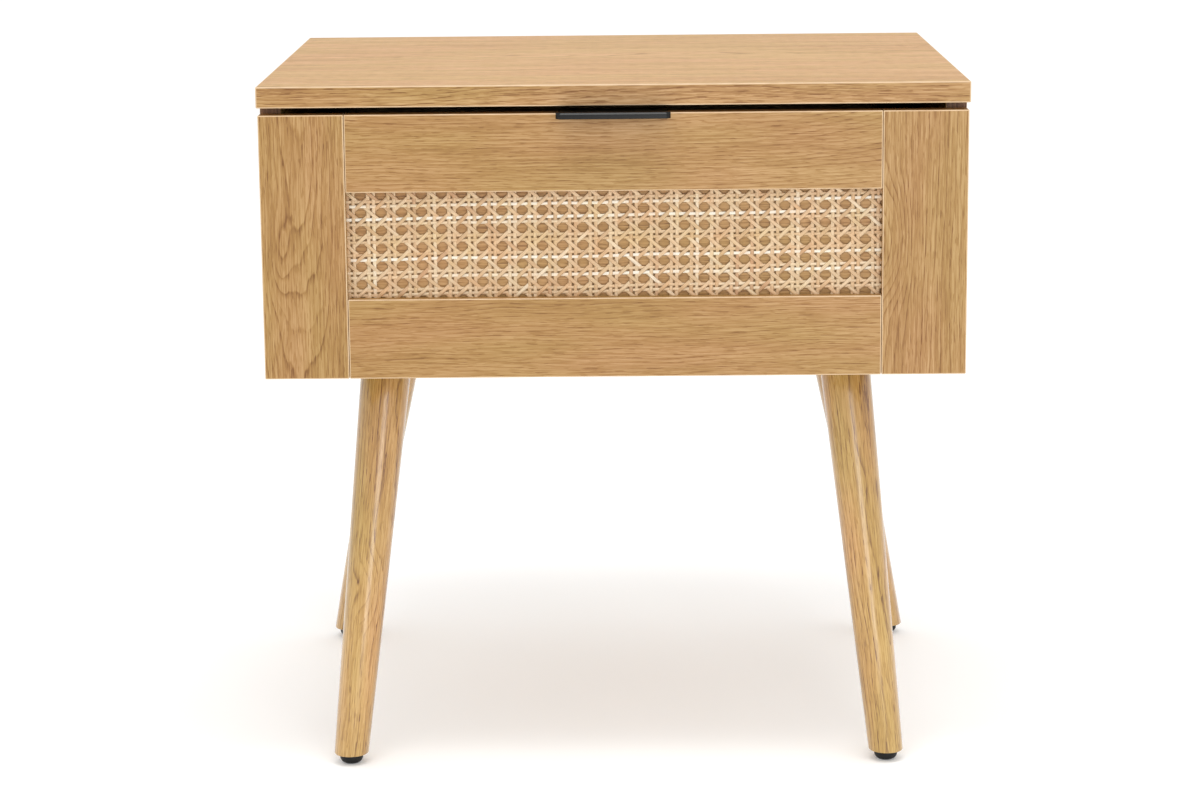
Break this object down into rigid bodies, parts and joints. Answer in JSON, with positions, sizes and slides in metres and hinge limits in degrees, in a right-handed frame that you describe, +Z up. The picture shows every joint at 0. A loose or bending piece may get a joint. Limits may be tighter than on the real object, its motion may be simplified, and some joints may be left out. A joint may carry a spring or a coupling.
{
  "type": "nightstand",
  "caption": "Bedside cabinet with a cane-panelled drawer on telescopic slides, a black edge pull and splayed turned wooden legs.",
  "frame": {"origin": "on the floor, under the middle of the whole object's bounding box", "axes": "+X is to the right seen from the front, -Y is the front where the drawer opens, +Z is up"},
  "size_m": [0.5, 0.416, 0.498],
  "materials": {
    "oak_board": "oak-look foil on board, satin, straight and cathedral grain",
    "lacquered_oak": "turned solid oak under gloss lacquer",
    "cane_webbing": "woven natural cane, open octagonal pattern, matt to satin",
    "pale_board": "pale wood-look foil on board",
    "hardboard": "brown hardboard, smooth face",
    "zinc_plated_steel": "bright zinc plating",
    "black_powder_coat": "satin black powder coat",
    "black_plastic": "moulded black nylon"
  },
  "bodies": {
    "cabinet": {"back_panel": "hardboard", "base_panel": "oak_board", "glide_back_left": "black_plastic", "glide_back_right": "black_plastic", "glide_front_left": "black_plastic", "glide_front_right": "black_plastic", "hanger_bolt_back_left": "zinc_plated_steel", "hanger_bolt_back_right": "zinc_plated_steel", "hanger_bolt_front_left": "zinc_plated_steel", "hanger_bolt_front_right": "zinc_plated_steel", "leg_back_left": "lacquered_oak", "leg_back_right": "lacquered_oak", "leg_front_left": "lacquered_oak", "leg_front_right": "lacquered_oak", "leg_plate_back_left": "zinc_plated_steel", "leg_plate_back_right": "zinc_plated_steel", "leg_plate_front_left": "zinc_plated_steel", "leg_plate_front_right": "zinc_plated_steel", "plate_screw_back_left_back_left": "zinc_plated_steel", "plate_screw_back_left_back_right": "zinc_plated_steel", "plate_screw_back_left_front_left": "zinc_plated_steel", "plate_screw_back_left_front_right": "zinc_plated_steel", "plate_screw_back_right_back_left": "zinc_plated_steel", "plate_screw_back_right_back_right": "zinc_plated_steel", "plate_screw_back_right_front_left": "zinc_plated_steel", "plate_screw_back_right_front_right": "zinc_plated_steel", "plate_screw_front_left_back_left": "zinc_plated_steel", "plate_screw_front_left_back_right": "zinc_plated_steel", "plate_screw_front_left_front_left": "zinc_plated_steel", "plate_screw_front_left_front_right": "zinc_plated_steel", "plate_screw_front_right_back_left": "zinc_plated_steel", "plate_screw_front_right_back_right": "zinc_plated_steel", "plate_screw_front_right_front_left": "zinc_plated_steel", "plate_screw_front_right_front_right": "zinc_plated_steel", "side_panel_left": "oak_board", "side_panel_right": "oak_board", "slide_cabinet_member_left": "zinc_plated_steel", "slide_cabinet_member_right": "zinc_plated_steel", "top_panel": "oak_board"},
    "drawer": {"cane_panel": "cane_webbing", "drawer_back": "pale_board", "drawer_bottom": "hardboard", "drawer_box_front": "pale_board", "drawer_side_left": "pale_board", "drawer_side_right": "pale_board", "edge_pull": "black_powder_coat", "front_backing_panel": "pale_board", "front_rail_bottom": "oak_board", "front_rail_top": "oak_board", "front_screw_left": "zinc_plated_steel", "front_screw_right": "zinc_plated_steel", "front_stile_left": "oak_board", "front_stile_right": "oak_board", "pull_screw_left": "black_powder_coat", "pull_screw_right": "black_powder_coat", "slide_drawer_member_left": "zinc_plated_steel", "slide_drawer_member_right": "zinc_plated_steel"},
    "slide_middle_left": {"slide_middle_member_left": "zinc_plated_steel"},
    "slide_middle_right": {"slide_middle_member_right": "zinc_plated_steel"}
  },
  "joints": [
    {"name": "drawer_slide", "type": "slide", "parent": "cabinet", "child": "drawer", "axis": [0, -1, 0], "range_m": [0, 0.3]},
    {"name": "slide_left_middle_travel", "type": "slide", "parent": "cabinet", "child": "slide_middle_left", "axis": [0, -1, 0], "range_m": [0, 0.15]},
    {"name": "slide_right_middle_travel", "type": "slide", "parent": "cabinet", "child": "slide_middle_right", "axis": [0, -1, 0], "range_m": [0, 0.15]}
  ],
  "couplings": [
    {"joint": "slide_left_middle_travel", "follows": "drawer_slide", "ratio": 0.5},
    {"joint": "slide_right_middle_travel", "follows": "drawer_slide", "ratio": 0.5}
  ]
}
